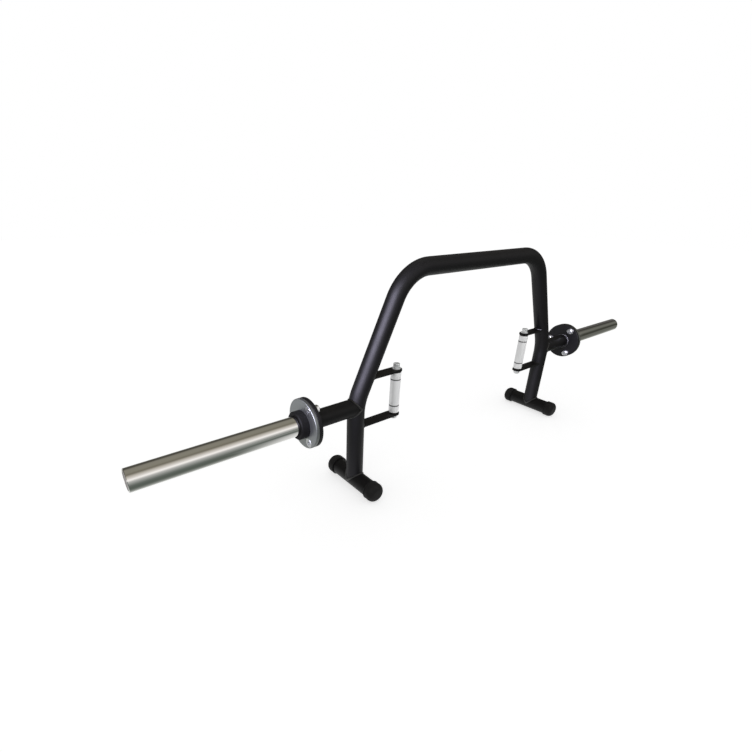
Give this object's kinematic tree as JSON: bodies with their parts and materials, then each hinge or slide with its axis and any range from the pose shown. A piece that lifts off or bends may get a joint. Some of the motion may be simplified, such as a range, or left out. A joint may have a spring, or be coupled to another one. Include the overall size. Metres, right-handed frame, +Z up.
{
  "type": "trap bar",
  "caption": "Open-sided trap bar: a bent tube arch on T-shaped feet, with revolving upright handles and bolt-on plate sleeves on stub arms.",
  "frame": {"origin": "on the floor, under the middle of the bar", "axes": "+X along the bar to the lifter's right, +Y the way the lifter faces away from the picture's view, +Z up"},
  "size_m": [1.988, 0.2046, 0.6057],
  "materials": {
    "black_frame": "satin black powder coat",
    "black_collar": "semi-gloss black",
    "rubber": "moulded matt rubber",
    "chrome": "polished chrome plate",
    "zinc": "turned and zinc plated",
    "grip_metal": "satin plated steel tube",
    "ring_black": "matt black",
    "nylon": "black nylon"
  },
  "bodies": {
    "frame": {"arch_tube": "black_frame", "flange_bolt_left_1": "zinc", "flange_bolt_left_2": "zinc", "flange_bolt_left_3": "zinc", "flange_bolt_right_1": "zinc", "flange_bolt_right_2": "zinc", "flange_bolt_right_3": "zinc", "flange_nut_left_1": "zinc", "flange_nut_left_2": "zinc", "flange_nut_left_3": "zinc", "flange_nut_right_1": "zinc", "flange_nut_right_2": "zinc", "flange_nut_right_3": "zinc", "foot_cap_left_back": "rubber", "foot_cap_left_front": "rubber", "foot_cap_right_back": "rubber", "foot_cap_right_front": "rubber", "foot_tube_left": "black_frame", "foot_tube_right": "black_frame", "grip_spacer_left_lower": "nylon", "grip_spacer_left_upper": "nylon", "grip_spacer_right_lower": "nylon", "grip_spacer_right_upper": "nylon", "handle_bolt_left": "zinc", "handle_bolt_right": "zinc", "handle_bracket_left_lower": "black_frame", "handle_bracket_left_upper": "black_frame", "handle_bracket_right_lower": "black_frame", "handle_bracket_right_upper": "black_frame", "handle_nut_left": "zinc", "handle_nut_right": "zinc", "handle_washer_left": "zinc", "handle_washer_right": "zinc", "load_sleeve_left": "chrome", "load_sleeve_right": "chrome", "sleeve_end_plug_left": "chrome", "sleeve_end_plug_right": "chrome", "sleeve_flange_left": "zinc", "sleeve_flange_right": "zinc", "stop_collar_left": "black_collar", "stop_collar_right": "black_collar", "stub_arm_left": "black_frame", "stub_arm_right": "black_frame", "stub_flange_left": "black_frame", "stub_flange_right": "black_frame"},
    "left_grip": {"grip_bush_left_lower": "nylon", "grip_bush_left_upper": "nylon", "grip_ring_left_lower": "ring_black", "grip_ring_left_upper": "ring_black", "grip_tube_left": "grip_metal"},
    "right_grip": {"grip_bush_right_lower": "nylon", "grip_bush_right_upper": "nylon", "grip_ring_right_lower": "ring_black", "grip_ring_right_upper": "ring_black", "grip_tube_right": "grip_metal"}
  },
  "joints": [
    {"name": "left_grip_spin", "type": "hinge", "parent": "frame", "child": "left_grip", "pos_m": [-0.3, 0, 0.2562], "axis": [0, 0, 1], "continuous": true},
    {"name": "right_grip_spin", "type": "hinge", "parent": "frame", "child": "right_grip", "pos_m": [0.3, 0, 0.2562], "axis": [0, 0, 1], "continuous": true}
  ]
}
